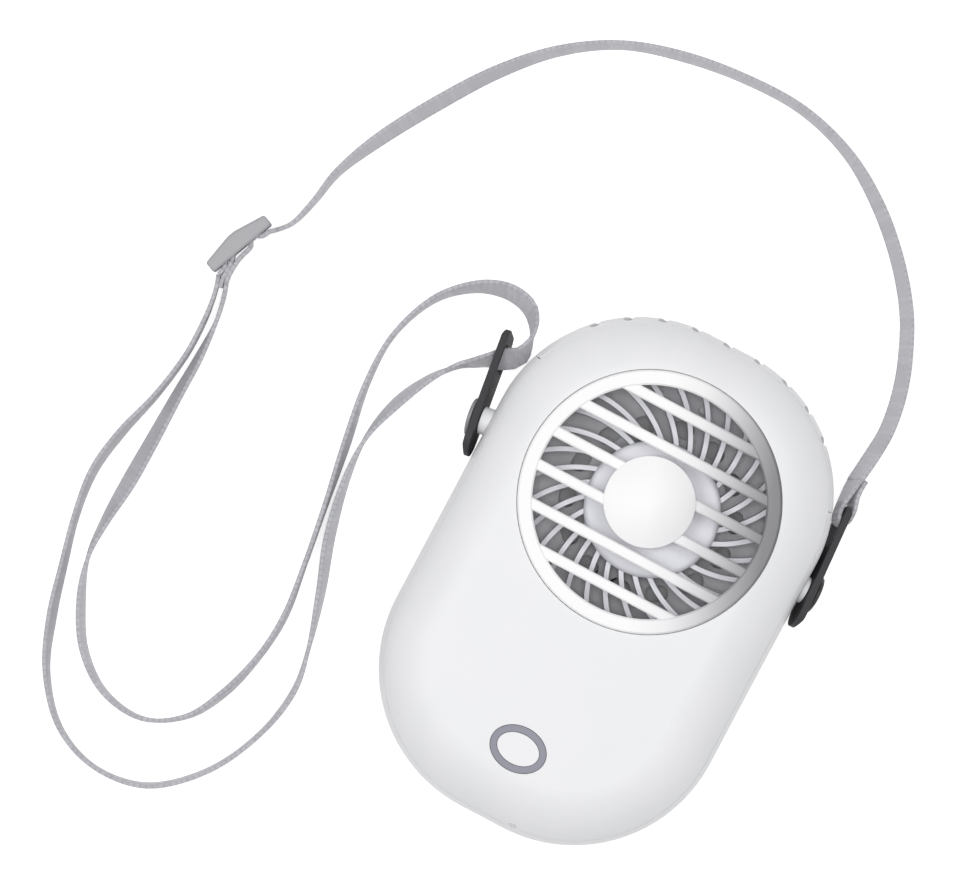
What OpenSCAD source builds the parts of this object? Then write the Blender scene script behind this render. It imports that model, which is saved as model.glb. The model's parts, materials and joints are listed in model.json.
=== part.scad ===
// Hanging neck fan: a palm-sized blower that lies flat against the chest on a thin strap.
// Millimetres. The fan lies on its back: +X to its right, +Y towards the vents, +Z out of its face.

/* [Body] */
// Width of the casing
body_w = 76; // [74:1:80]
// Length of the casing
body_l = 114; // [112:1:120]
// Thickness of the casing
body_t = 28; // [27.5:0.5:30]
// Radius of the casing's corners, seen from the front
corner_r = 33; // [32:0.5:35]
// Radius of the rounding from the face to the side
edge_r = 12; // [11:0.5:12.5]
// Wall thickness of the shells
wall = 2; // [1.8:0.1:2.2]
// Height of the parting line between the two shells
seam_z = 21; // [20.5:0.5:21.5]
// Width of the shadow line at each parting
seam_gap = 0.2; // [0.1:0.05:0.3]

/* [Front grille] */
// Distance of the grille's centre below the top end of the casing
grille_down = 37.8; // [37:0.2:39]
// Outer radius of the grille's ring
ring_r = 28.1; // [27.5:0.1:28.5]
// Radius of the round opening inside the ring
opening_r = 24.9; // [24:0.1:25.3]
// Thickness of the ring
ring_t = 2.1; // [1.8:0.1:2.4]
// How far the ring stands proud of the face
ring_proud = 0.5; // [0.3:0.1:0.8]
// Number of slats across the opening
slat_count = 6; // [4:2:8]
// Distance from slat to slat
slat_pitch = 7.96; // [7:0.02:8.2]
// Width of a slat
slat_w = 2.4; // [1.6:0.1:3]
// Thickness of a slat
slat_t = 1.5; // [1.2:0.1:1.8]
// Radius of the cap in the middle
cap_r = 9.8; // [9:0.1:11]
// Thickness of the cap at its rim
cap_rim = 0.7; // [0.5:0.1:1]
// Height of the cap's dome above its rim
cap_dome = 1.3; // [0.8:0.1:2]

/* [Impeller] */
// Offset of the shaft to the right of the grille's centre
shaft_dx = 1.4; // [0:0.1:1.5]
// Offset of the shaft below the grille's centre
shaft_dy = 1.1; // [0:0.1:1.5]
// Outer radius of the impeller
impeller_r = 28; // [26:0.2:28.4]
// Outer radius of the hub
hub_r = 14.65; // [14.3:0.05:15.2]
// Wall of the hub
hub_wall = 1.6; // [1.4:0.1:1.8]
// Depth of the hub's face below the face of the casing
hub_depth = 5; // [4.5:0.1:5.5]
// Depth of the blades' front edges below the hub's face
blade_drop = 1.4; // [1:0.1:2]
// Number of blades
blade_count = 29; // [20:1:31]
// Thickness of a blade
blade_t = 1.05; // [0.6:0.05:1.2]
// Angle from the root of a blade to its tip, seen from the shaft
blade_sweep = 24; // [18:0.2:25]
// Radius of a blade's curve
blade_curve_r = 25; // [22:1:60]

/* [Motor] */
// Gap between the rotor cup and the impeller's hub
rotor_gap = 0.45; // [0.25:0.05:0.6]
// Wall of the rotor cup
rotor_wall = 1; // [0.8:0.1:1.2]
// Thickness of the ring magnet
magnet_t = 1.3; // [1:0.1:1.5]
// Height of the ring magnet
magnet_h = 6; // [5:0.5:6.5]
// Number of stator teeth
tooth_count = 9; // [6:3:12]
// Radius of the shaft
shaft_r = 1; // [0.8:0.1:1.2]
// Outer radius of the bearing tube
tube_r = 3; // [2.8:0.1:3.4]
// Radius of the mounting flange
flange_r = 8.4; // [8:0.1:9]

/* [Air duct] */
// Height of the duct's floor above the table
duct_z = 8; // [7.5:0.1:8.2]
// Thickness of the duct's floor and wall
duct_t = 1.5; // [1.2:0.1:1.6]
// Gap between the impeller and the duct's wall
duct_gap = 2; // [1.6:0.1:2.3]
// Number of holes in the duct's floor
hole_count = 14; // [8:1:16]
// Radius of the circle that the holes lie on
hole_ring_r = 18.2; // [17.8:0.1:19]
// Length of a hole, along the circle
hole_l = 5; // [4:0.1:5.6]
// Width of a hole
hole_w = 3.6; // [3:0.1:4]

/* [Vents] */
// Distance below the top end at which the vent strip starts
vent_down = 21.8; // [20:0.2:23]
// Height of the strip's lower edge above the table
vent_z = 8; // [7.5:0.1:8.5]
// Number of vents round the top
vent_count = 9; // [5:2:11]
// Distance from vent to vent along the edge
vent_pitch = 7.5; // [6:0.1:7.8]
// Width of a vent
vent_w = 2; // [1.2:0.1:2.2]
// Slant of a vent
vent_slant = 10; // [0:1:14]

/* [Button] */
// Distance of the button above the bottom end of the casing
button_up = 16.8; // [15:0.2:19]
// Half the width of the ring round the button
button_ring_a = 6.24; // [6:0.02:6.6]
// Half the height of the ring round the button
button_ring_b = 4.84; // [4.6:0.02:5.2]
// Width of the ring's band
band_w = 1.43; // [1.2:0.01:1.6]
// Travel of the button
button_travel = 0.5; // [0.3:0.1:0.6]

/* [Strap links] */
// Distance of the pivots below the top end of the casing
pivot_down = 38.8; // [38:0.1:40]
// Height of the pivots above the table
pivot_z = 14; // [13.5:0.1:14.5]
// Slope of the pivots, outer end down
pivot_tilt = 10; // [4:1:12]
// Turn of the left pivot, top end of its link outwards
left_turn = 10; // [6:1:11]
// Turn of the right pivot, top end of its link inwards
right_turn = 1; // [0:1:3]
// Slope of the links below the pivot's level
link_droop = 12; // [0:1:20]
// Length of a link above its pivot
link_top = 20; // [19:0.5:22]
// Length of a link below its pivot
link_tail = 8.4; // [7.5:0.1:9]
// Width of a link
link_w = 8.6; // [8:0.1:9]
// Thickness of a link
link_t = 1.5; // [1.3:0.1:1.7]
// How far the left boss stands out of the casing
left_boss_out = 1.6; // [1.5:0.1:2]
// How far the right boss stands out of the casing
right_boss_out = 0.5; // [0.4:0.1:1]
// Radius of the pivot
pin_r = 1.9; // [1.6:0.1:2.2]
// Radius of the pivot's head
head_r = 4.2; // [3.8:0.1:4.2]
// Distance from the pivot to the middle of the strap's window
window_y = 14; // [13:0.1:14.2]
// Length of the strap's window, along the link
window_l = 6.2; // [5.8:0.1:6.6]
// Width of the strap's window
window_w = 5.6; // [5.5:0.1:6]

/* [Strap] */
// Width of the strap
strap_w = 5.2; // [4.8:0.1:5.4]
// Thickness of the strap
strap_t = 0.9; // [0.7:0.05:1]
// Length of the slider
slider_l = 16.2; // [16:0.1:16.6]
// Width of the slider
slider_w = 9; // [8.6:0.1:10]
// Thickness of the slider in its middle
slider_t = 4; // [3.7:0.1:4.4]
// Thickness of the slider at its ends
slider_end_t = 2.6; // [2.4:0.1:3]

/* [Inside] */
// Width of the battery
battery_w = 35; // [32:0.5:36]
// Length of the battery
battery_l = 30; // [26:0.5:30.5]
// Thickness of the battery
battery_t = 10; // [8:0.5:10.5]
// Thickness of the foam pad under the battery
pad_t = 1; // [0.5:0.1:1]
// Thickness of the circuit board
board_t = 1.2; // [0.8:0.1:1.6]
// Radius of a case screw's shank
screw_r = 1.2; // [1:0.05:1.3]
// Radius of a case screw's head
screw_head_r = 2.2; // [2:0.1:2.4]

/* [Hidden] */
// Overrun of a cut past the face that it opens
over = 1;
// Clearance of a running fit, of a pressed one, and of a part that sits in another
run = 0.06;
press = 0.02;
slip = 0.1;
// Clearance between parts that must not touch
clear = 0.3;

// Heights in the casing
face_z = body_t;
inner_top = body_t - wall;
flat_x = body_w/2 - corner_r;
flat_y = body_l/2 - corner_r;

// Places along the casing, from its ends
grille_y = body_l/2 - grille_down;
vent_y = body_l/2 - vent_down;
button_y = body_l/2 - button_up;
pivot_y = body_l/2 - pivot_down;

// Grille: a ledge in the front shell carries its ring
ring_top = face_z + ring_proud;
ring_z = ring_top - ring_t;
ring_chamfer = 0.35;
ledge_w = 1.6;
ledge_t = 1.2;
ledge_z = ring_z - ledge_t;
ring_slip = 0.15;
slat_recess = 0.25;
slat_z = ring_top - slat_recess - slat_t;
slat_chamfer = 0.3;
slat_bite = 0.6;
grille_hub_r = 8.4;
cap_z = ring_top - slat_recess;
cap_ball_r = (cap_r*cap_r + cap_dome*cap_dome)/(2*cap_dome);
cap_pin_r = 1.8;

// Impeller and motor, on the shaft's axis
shaft_x = shaft_dx;
shaft_y = grille_y - shaft_dy;
hub_z = face_z - hub_depth;
rotor_r = hub_r - hub_wall - rotor_gap;
duct_r = impeller_r + duct_gap;
hub_round = 1.2;
duct_top = duct_z + duct_t;
flange_t = 1.2;
impeller_z = duct_top + flange_t + clear;
blade_z = hub_z - blade_drop;
blade_root_r = hub_r - hub_wall/2;
rotor_top = hub_z - hub_wall;
rotor_z = impeller_z + clear;
magnet_lift = 1.3;
magnet_z = rotor_z + magnet_lift;
stator_r = rotor_r - rotor_wall - magnet_t - clear;
stator_h = magnet_h - 2*clear;
stator_z = magnet_z + clear;
stator_ring_t = 1.7;
stator_ring_r = tube_r + stator_ring_t;
tooth_w = 1.5;
tooth_tip = 0.8;
coil_t = 0.85;
coil_end = 0.6;
coil_foot = 0.7;
tube_top = rotor_top - rotor_wall - 2*clear;
bearing_r = 2.1;
bearing_l = 7.8;
shaft_foot = 0.3;
shaft_bite = 1;
clip_r = 1.8;
clip_t = 0.4;
bearing_z = duct_top + flange_t;
clip_z = bearing_z - clip_t - slip;
motor_screw_count = 3;
motor_screw_ring_r = 6.3;
motor_screw_r = 0.7;
motor_screw_head_r = 1.2;
motor_screw_head_t = 0.7;
motor_screw_l = 2.5;

// A blade is an arc through its root and its tip
blade_first = -3.5;
function polar(r, a) = r*[cos(a), sin(a)];
blade_root = polar(blade_root_r, 0);
blade_tip = polar(impeller_r, blade_sweep);
blade_chord = blade_tip - blade_root;
blade_half_turn = asin(norm(blade_chord)/2/blade_curve_r);
blade_chord_turn = atan2(blade_chord[1], blade_chord[0]);
blade_start = blade_chord_turn - 90 - blade_half_turn;
blade_centre = blade_root - polar(blade_curve_r, blade_start);

// Duct: its wall leaves the top open towards the vents
duct_open_from = 20;
duct_open_to = 160;
duct_post_r = 2.4;
duct_pin_r = 0.9;
duct_post_ring_r = 24;
duct_post_angles = [90, 210, 330];
hole_first = -7;
lead_hole_w = 3.6;
lead_hole_l = 7.2;
lead_hole_ring_r = 10.6;
inner_edge_r = edge_r - wall;
duct_drop = edge_r - duct_z;
duct_inset = wall + clear + inner_edge_r - sqrt(inner_edge_r*inner_edge_r - duct_drop*duct_drop);

// Vents, and what is left of the strip below and above them
vent_sill = 1.2;
vent_head = 0.5;
vent_low = vent_z + vent_sill;
vent_high = seam_z - vent_head;

// Screws that join the shells
screw_top_in = 14;
screw_low_in = 15;
screw_low_up = 13.5;
screw_top_x = body_w/2 - screw_top_in;
screw_top_y = body_l/2 - screw_top_in;
screw_low_x = body_w/2 - screw_low_in;
screw_low_y = body_l/2 - screw_low_up;
screw_places = [[screw_top_x, screw_top_y], [-screw_top_x, screw_top_y],
    [screw_low_x, -screw_low_y], [-screw_low_x, -screw_low_y]];
screw_l = 12;
screw_head_t = 1.3;
screw_seat_z = 4.8;
screw_boss_r = 3.2;
screw_post_r = 2.9;
screw_boss_top = 9;
screw_recess_r = screw_head_r + clear;
screw_tip = 0.5;
cross_w = 0.5;
cross_l = 2.4;
cross_deep = 0.7;

// Tongue of the rear shell inside the front shell
tongue_in = 1.1;
tongue_h = 1.2;

// Battery, board and what stands on it
lead_space = 2.6;
battery_top_y = shaft_y - duct_r - duct_t - lead_space;
battery_y = battery_top_y - battery_l/2;
battery_z = wall + pad_t;
battery_round = 2;
pad_margin = 2.5;
fence_t = 1.2;
fence_l = 24;
fence_h = 4;
board_lift = 3;
board_z = battery_z + battery_t + board_lift;
board_top = board_z + board_t;
board_gap = 1;
board_in = wall + board_gap;
board_up = 4.5;
board_low_y = board_up - body_l/2;
board_drop = 1;
board_high_y = battery_top_y - board_drop;
board_notch = 1.2;
post_r = 2;
post_side = 6.5;
post_down = 5;
post_in = 5;
post_below = 3.3;
post_top_x = battery_w/2 + post_side;
post_top_y = battery_top_y - post_down;
post_low_x = battery_w/2 - post_in;
post_low_y = battery_top_y - battery_l - post_below;
post_places = [[post_top_x, post_top_y], [-post_top_x, post_top_y],
    [post_low_x, post_low_y], [-post_low_x, post_low_y]];
board_side = 3;
board_half_w = post_top_x + board_side;
board_screw_r = 0.9;
board_screw_head_r = 1.7;
board_screw_head_t = 1;
board_screw_l = 6;
led_size = [1.6, 0.8, 0.6];
led_x = 8.6;
chip_size = [5, 5, 1];
chip_x = 13.5;
chip_above = 7.2;
chip_place = [chip_x, chip_above - button_y];
choke_size = [4, 4, 2.4];
choke_x = 14;
choke_above = 8.2;
choke_place = [-choke_x, choke_above - button_y];
plug_size = [6, 4, 3];
plug_down = 5;
plug_y = battery_top_y - plug_down;
motor_plug_x = -9;
battery_plug_x = 9;

// Button and its switch
button_a = button_ring_a - band_w;
button_b = button_ring_b - band_w;
button_gap = 0.08;
button_skirt = 0.8;
button_flange_t = 1;
ring_flange = 1.1;
ring_flange_t = 0.8;
ring_face = 0.12;
button_face = 0.15;
switch_w = 6;
switch_h = 3.5;
switch_top = board_top + switch_h;
plunger_r = 1.7;
plunger_up = 1;
plunger_down = 1.3;
stem_r = 2.2;

// Socket and charge light at the bottom edge
usb_w = 8.94;
usb_h = 3.2;
usb_l = 7.4;
usb_t = 0.3;
usb_inset = 0.6;
usb_clear = 0.35;
usb_tongue_w = 6.7;
usb_tongue_t = 0.7;
usb_tongue_l = 5;
usb_back = 1;
light_x = 6.7;
light_r = 0.8;
light_l = 3;
light_rise = 60;

// Pivots: a boss of the rear shell, a headed pin, and the link between them
boss_r = 3;
boss_in = 4;
link_gap = 0.2;
pin_end = 3.7;
head_t = 0.8;
head_round = 0.4;
link_end_r = 1.6;
link_chamfer = 1.6;
link_chamfer_t = 0.5;
window_r = 0.8;
function link_x(boss_out) = boss_out + link_gap;
function head_x(boss_out) = link_x(boss_out) + link_t + link_gap;

// Strap loop sewn round the end bar of the right link
loop_gap = 0.2;
loop_neck = 1.8;
loop_sewn_l = 4;
loop_seam = 0.1;
bar_low = window_y + window_l/2;

// Slider: a wedge-backed frame with a bar across its middle, standing on its long edge
slider_at = [-102.3, 26.4];
slider_turn = 67.5;
slider_rail = (slider_w - window_w)/2;
slider_bar_w = 1.8;
slider_bar_t = 0.95;
slider_end_bar = 2.3;
slider_flat = 1.8;
strap_in_slider_z = slider_rail + (window_w - strap_w)/2;

// Leads inside the casing
lead_r = 0.6;
lead_sides = 8;
lead_pitch = 1.5;
strap_bevel_share = 0.25;

// Strap routes. Each row: x, y, lift off the table, lean of the strap from standing on edge.
arc_route = [
    [37.3, 44.1, 6, -28], [38, 50, 4, -31], [38.4, 57, 2, -30], [37.2, 65, 0.5, -30],
    [34.6, 72.8, 0, -28], [30.1, 81.7, 0, -26], [22.8, 90.9, 0, -25], [13.5, 99.3, 0, -24],
    [2.7, 105.8, 0, -17], [-10.1, 109.4, 0, -14], [-24, 109.5, 0, -14], [-38, 107.5, 0, -16],
    [-51, 103.4, 0, -13], [-62.4, 95.9, 0, -18], [-72, 85.6, 0, -26], [-80.3, 73.4, 0, -30],
    [-87.4, 61.2, 0, -26], [-92, 50.9, 0, -12], [-93.5, 43.2, 1, -6], [-94.8, 38, 1.6, -3],
    [-96, 35.4, 1.9, 0], [-97.8, 33.4, 1.9, 0]];
outer_route = [
    [-104.3, 19, 1.9, 0], [-103.7, 17.2, 1.9, 0], [-103, 14, 1.5, 0], [-102.4, 8, 0.8, -3],
    [-102.5, 0, 0, -4], [-104.1, -10.1, 0, -7], [-107, -21, 0, -14], [-108.4, -31, 0, -13],
    [-107.2, -41.4, 0, -8], [-104.6, -52, 0, -11], [-101.6, -63, 0, -15], [-97, -74, 0, -7],
    [-88.9, -83.2, 0, -3], [-78, -87.3, 0, 0], [-66.1, -85.3, 0, -4], [-56.2, -76.3, 0, -4],
    [-50.2, -64.5, 0, -4], [-48, -53, 0, -7], [-49.5, -43, 0, 0], [-52.9, -31, 0, 15],
    [-56.8, -19.6, 0, 20], [-59.4, -7.5, 0, 11], [-59.9, 3, 0, -3], [-57.6, 12.5, 0.5, -20],
    [-53.7, 20.6, 2.5, -11], [-49.8, 25.5, 5, 5], [-47, 27.8, 7, 15], [-44.6, 29.7, 8.3, 28],
    [-42.5, 31.1, 8.9, 55]];
inner_route = [
    [-102, 18.1, 1.9, 0], [-101.5, 16.8, 1.9, 0], [-100.9, 14.6, 1.6, 0], [-100, 9, 0.8, 3],
    [-99.8, 1, 0, 16], [-100.1, -8, 0, 23], [-100.3, -20, 0, 31], [-100.6, -30, 0, 33],
    [-101.1, -39.5, 0, 17], [-100.7, -48, 0, 3], [-97.6, -57, 0, -12], [-92.1, -66, 0, -11],
    [-84, -72, 0, -6], [-74.1, -73.2, 0, 0], [-65.8, -68.3, 0, 6], [-61, -59.9, 0, 13],
    [-58.1, -49.4, 0, 8], [-57.3, -39, 0, 8], [-58.8, -27, 0, 3], [-60.8, -14, 0, 5],
    [-63.1, 0, 0, 14], [-65.2, 13, 0, 8], [-65.1, 25, 0, 4], [-61.1, 35.8, 1, 10],
    [-54.6, 42.4, 2, 22], [-47.9, 45, 3.5, 35], [-42.2, 44.2, 5.5, 33], [-39.1, 41, 7, 14],
    [-38.2, 37.4, 8, -10], [-38.6, 34.2, 9, -40], [-40.2, 32.6, 9, -60], [-42.5, 31.1, 8.9, -55]];
// Straps inside the slider, from its middle: the run over its bar, and the end sewn round its bar
slider_run = [
    [8.2, -1.5], [6.4, -0.7], [5, -0.6], [3.4, 0.9], [2, 2.6], [-2, 2.6], [-3.9, 0.9], [-5.6, -0.5],
    [-7.55, -1]];
slider_loop = [
    [-7.55, -3.4], [-5.5, -2.6], [-3.2, -1.95], [-0.8, -1.5], [1.3, -1.1], [2.2, 0], [1.5, 1.55],
    [-1.5, 1.55], [-2.2, 0.5], [-3.5, -0.85], [-5.5, -1.55], [-7.6, -2.25], [-9.1, -3.4]];
// Leads from the motor and the battery to their plugs on the board
motor_lead_route = [
    [1.4, 7.5, 9.5], [1.4, 7, 7.5], [0.8, 4, 6.2], [-2, -3, 6], [-6, -9, 6], [-8.4, -12.6, 6.6],
    [-9, -14.4, 8.5], [-9, -14.6, 12], [-9, -14.7, 16], [-9, -15.2, 18.2], [-9, -17, 18.8], [-9, -19, 18.8]];
battery_lead_route = [
    [9, -16, 8], [9, -15.6, 8], [9, -14.8, 9.6], [9, -14.6, 13], [9, -14.7, 16], [9, -15.2, 18.2],
    [9, -17, 18.8], [9, -19, 18.8]];

$fn = 72;

// Shared shapes

// Slice of the casing's rounded edge, from the centre of a corner outwards
module edge_slice(inset) {
    r = corner_r - inset;
    e = edge_r - inset;
    t = body_t - 2*inset;
    square([r - e, t]);
    translate([0, e]) square([r, t - 2*e]);
    for (z = [e, t - e]) translate([r - e, z]) circle(e);
}

// The casing as a solid, or with an inset the space inside it
module pillow(inset) {
    translate([0, 0, inset]) {
        for (x = [0, 1], y = [0, 1]) mirror([x, 0, 0]) mirror([0, y, 0])
            translate([flat_x, flat_y, 0]) rotate_extrude(angle = 90) edge_slice(inset);
        for (x = [0, 1]) mirror([x, 0, 0])
            translate([flat_x, flat_y, 0]) rotate([90, 0, 0]) linear_extrude(2*flat_y) edge_slice(inset);
        for (y = [0, 1]) mirror([0, y, 0])
            translate([-flat_x, flat_y, 0]) rotate([90, 0, 90]) linear_extrude(2*flat_x) edge_slice(inset);
        translate([-flat_x, -flat_y, 0]) cube([2*flat_x, 2*flat_y, body_t - 2*inset]);
    }
}

// Outline of the casing seen from the front
module outline(inset) {
    r = corner_r - inset;
    for (x = [-1, 1], y = [-1, 1]) translate([x*flat_x, y*flat_y]) circle(r);
    square([2*flat_x, body_l - 2*inset], center = true);
    square([body_w - 2*inset, 2*flat_y], center = true);
}

// A slab across the whole casing between two heights, above a given y
module slab(z0, z1, y0 = -body_l) {
    translate([-body_w, y0, z0]) cube([2*body_w, body_l - y0, z1 - z0]);
}

module tube(r, bore, h) {
    difference() {
        cylinder(h, r = r);
        translate([0, 0, -over]) cylinder(h + 2*over, r = bore);
    }
}

// Slot with round ends, lying along X
module stadium(l, w) {
    square([l - w, w], center = true);
    for (x = [-1, 1]) translate([x*(l - w)/2, 0]) circle(w/2);
}

// Oval of two end arcs and two long arcs, from its two half axes
module oval(a, b) {
    scale([a/b, 1]) circle(b);
}

module on_shaft(z) {
    translate([shaft_x, shaft_y, z]) children();
}

module ring_of(count, r, first = 0) {
    for (i = [0:count - 1]) rotate(first + i*360/count) translate([r, 0, 0]) children();
}

// Casing

module screw_bosses() {
    for (p = screw_places) translate([p[0], p[1], 0]) cylinder(screw_boss_top, r = screw_boss_r);
}

module screw_holes() {
    for (p = screw_places) translate([p[0], p[1], -over]) {
        cylinder(screw_seat_z + over, r = screw_recess_r);
        cylinder(screw_boss_top + 2*over, r = screw_r + slip);
    }
}

module rear_shell() {
    color("white") difference() {
        union() {
            difference() {
                intersection() {
                    pillow(0);
                    slab(0, seam_z);
                }
                pillow(wall);
                slab(vent_z, body_t, vent_y);
            }
            intersection() {
                difference() {
                    pillow(tongue_in);
                    pillow(wall);
                    for (p = screw_places) translate([p[0], p[1], seam_z - tongue_h])
                        cylinder(2*tongue_h + over, r = screw_post_r + clear);
                }
                slab(seam_z - tongue_h, seam_z + tongue_h);
                translate([-body_w, -body_l, 0]) cube([2*body_w, body_l + vent_y - over, body_t]);
            }
            intersection() {
                pillow(wall/2);
                rear_posts();
            }
            left_side() pivot_boss(left_boss_out);
            right_side() pivot_boss(right_boss_out);
        }
        screw_holes();
        usb_opening();
        light_hole();
        for (x = [-1, 1]) translate([x*post_top_x, post_top_y, board_top - board_screw_l])
            cylinder(board_screw_l, r = board_screw_r);
        left_side() pivot_bore(left_boss_out);
        right_side() pivot_bore(right_boss_out);
    }
}

// What stands on the floor of the rear shell
module rear_posts() {
    screw_bosses();
    for (p = post_places) translate([p[0], p[1], 0]) cylinder(board_z, r = post_r);
    for (a = duct_post_angles) on_shaft(0) rotate(a) translate([duct_post_ring_r, 0, 0]) {
        cylinder(duct_z, r = duct_post_r);
        cylinder(duct_top, r = duct_pin_r);
    }
    for (y = [-1, 1]) translate([-fence_l/2, battery_y + y*(battery_l/2 + clear + fence_t/2) - fence_t/2, 0])
        cube([fence_l, fence_t, battery_z + fence_h]);
}

module front_shell() {
    color("white") difference() {
        union() {
            difference() {
                intersection() {
                    pillow(0);
                    slab(seam_z + seam_gap, body_t);
                }
                pillow(wall);
                intersection() {
                    pillow(tongue_in - slip);
                    slab(seam_z, seam_z + tongue_h + slip);
                }
            }
            translate([0, grille_y, ledge_z]) cylinder(ledge_t + ring_slip, r = ring_r + ledge_t);
            intersection() {
                pillow(wall/2);
                for (p = screw_places) translate([p[0], p[1], screw_boss_top + clear])
                    cylinder(body_t, r = screw_post_r);
            }
        }
        translate([0, grille_y, ledge_z - over]) cylinder(body_t, r = ring_r - ledge_w);
        translate([0, grille_y, ring_z]) cylinder(body_t, r = ring_r + ring_slip);
        for (p = screw_places) translate([p[0], p[1], screw_boss_top])
            cylinder(screw_seat_z + screw_l + screw_tip - screw_boss_top, r = screw_r + press);
        translate([0, -button_y, inner_top - over])
            linear_extrude(wall + 2*over) oval(button_ring_a + slip, button_ring_b + slip);
        light_hole();
    }
}

// Place and turn of a vent, from its distance along the edge
function vent_turn(s) = abs(s) <= flat_x ? 0 : sign(s)*(abs(s) - flat_x)/corner_r*180/PI;
function vent_place(s) = abs(s) <= flat_x ? [s, body_l/2] :
    [sign(s)*flat_x + corner_r*sin(vent_turn(s)), flat_y + corner_r*cos(vent_turn(s))];

module vent_strip() {
    color("white") difference() {
        intersection() {
            difference() {
                pillow(0);
                pillow(wall);
            }
            slab(vent_z + seam_gap, seam_z - seam_gap, vent_y + seam_gap);
        }
        for (i = [0:vent_count - 1]) {
            s = (i - (vent_count - 1)/2)*vent_pitch;
            translate([vent_place(s)[0], vent_place(s)[1], (vent_low + vent_high)/2])
                rotate([90, 0, -vent_turn(s)]) rotate(90 + vent_slant)
                translate([0, 0, -over]) linear_extrude(2*wall + 2*over)
                stadium((vent_high - vent_low)/cos(vent_slant) - vent_w*tan(vent_slant), vent_w);
        }
    }
}

// Grille

module front_grille() {
    color("white") translate([0, grille_y, 0]) difference() {
        union() {
            translate([0, 0, ring_z]) rotate_extrude() polygon([
                [opening_r, 0], [ring_r, 0], [ring_r, ring_t - ring_chamfer], [ring_r - ring_chamfer, ring_t],
                [opening_r + ring_chamfer, ring_t], [opening_r, ring_t - ring_chamfer]]);
            intersection() {
                translate([0, 0, ring_z]) cylinder(ring_t, r = opening_r + slat_bite);
                for (i = [0:slat_count - 1])
                    translate([-ring_r, (i - (slat_count - 1)/2)*slat_pitch, slat_z]) slat(2*ring_r);
            }
            translate([0, 0, slat_z]) cylinder(slat_t, r = grille_hub_r);
        }
        translate([0, 0, slat_z - over]) cylinder(slat_t + 2*over, r = cap_pin_r + press);
    }
}

module slat(l) {
    rotate([90, 0, 90]) linear_extrude(l) polygon([
        [-slat_w/2, 0], [slat_w/2, 0], [slat_w/2, slat_t - slat_chamfer], [slat_w/2 - slat_chamfer, slat_t],
        [-slat_w/2 + slat_chamfer, slat_t], [-slat_w/2, slat_t - slat_chamfer]]);
}

module grille_cap() {
    color("white") translate([0, grille_y, cap_z]) {
        rotate_extrude() intersection() {
            square([cap_r, cap_rim + cap_dome]);
            translate([0, cap_rim + cap_dome - cap_ball_r]) circle(cap_ball_r, $fn = 360);
        }
        translate([0, 0, -slat_t]) cylinder(slat_t, r = cap_pin_r);
    }
}

// Blower

module air_duct() {
    color("dimgray") difference() {
        union() {
            on_shaft(duct_z) cylinder(duct_t, r = duct_r + duct_t);
            translate([0, 0, duct_z]) linear_extrude(duct_t) intersection() {
                outline(duct_inset);
                translate([-body_w, shaft_y]) square([2*body_w, body_l]);
            }
            on_shaft(duct_z) rotate_extrude(angle = 360 - duct_open_to + duct_open_from, start = duct_open_to)
                translate([duct_r, 0]) square([duct_t, hub_z - clear - duct_z]);
        }
        on_shaft(duct_z - over) {
            ring_of(hole_count, hole_ring_r, hole_first)
                linear_extrude(duct_t + 2*over) rotate(90) stadium(hole_l, hole_w);
            ring_of(motor_screw_count, motor_screw_ring_r) cylinder(duct_t + 2*over, r = motor_screw_r + press);
            for (a = duct_post_angles) rotate(a) translate([duct_post_ring_r, 0, 0])
                cylinder(duct_t + 2*over, r = duct_pin_r + slip);
            translate([0, -lead_hole_ring_r, 0]) linear_extrude(duct_t + 2*over)
                stadium(lead_hole_l, lead_hole_w);
        }
        for (p = screw_places) translate([p[0], p[1], duct_z - over])
            cylinder(duct_t + 2*over, r = screw_boss_r + clear);
    }
}

module blade() {
    translate([blade_centre[0], blade_centre[1], impeller_z + clear])
        rotate_extrude(angle = 2*blade_half_turn, start = blade_start)
        translate([blade_curve_r - blade_t/2, 0]) square([blade_t, blade_z - impeller_z - clear]);
}

module impeller() {
    color("gainsboro") on_shaft(0) difference() {
        union() {
            translate([0, 0, impeller_z]) rotate_extrude() {
                square([hub_r, hub_z - hub_round - impeller_z]);
                square([hub_r - hub_round, hub_z - impeller_z]);
                translate([hub_r - hub_round, hub_z - hub_round - impeller_z]) circle(hub_round);
            }
            ring_of(blade_count, 0, blade_first) blade();
        }
        translate([0, 0, impeller_z - over]) cylinder(rotor_top - impeller_z + over, r = hub_r - hub_wall);
        translate([0, 0, rotor_top - over]) cylinder(over + shaft_bite, r = shaft_r + press);
    }
}

module rotor_cup() {
    color("slategray") on_shaft(rotor_z) difference() {
        cylinder(rotor_top - rotor_z, r = rotor_r);
        translate([0, 0, -over]) cylinder(rotor_top - rotor_z - rotor_wall + over, r = rotor_r - rotor_wall);
        cylinder(rotor_top - rotor_z + over, r = shaft_r + press);
    }
}

module rotor_magnet() {
    r = rotor_r - rotor_wall;
    color("darkslategray") on_shaft(magnet_z) tube(r, r - magnet_t, magnet_h);
}

module motor_shaft() {
    z = duct_top + shaft_foot;
    color("silver") on_shaft(z) cylinder(rotor_top + shaft_bite - z, r = shaft_r);
}

module shaft_clip() {
    color("dimgray") on_shaft(clip_z) tube(clip_r, shaft_r + press, clip_t);
}

module stator_core() {
    color("gray") on_shaft(stator_z) linear_extrude(stator_h) difference() {
        union() {
            circle(stator_ring_r);
            ring_of(tooth_count, 0) translate([0, -tooth_w/2]) square([stator_r - tooth_tip/2, tooth_w]);
            difference() {
                circle(stator_r);
                circle(stator_r - tooth_tip);
                ring_of(tooth_count, 0, 180/tooth_count)
                    translate([0, -tooth_w/2]) square([rotor_r, tooth_w]);
            }
        }
        circle(tube_r + press);
    }
}

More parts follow.
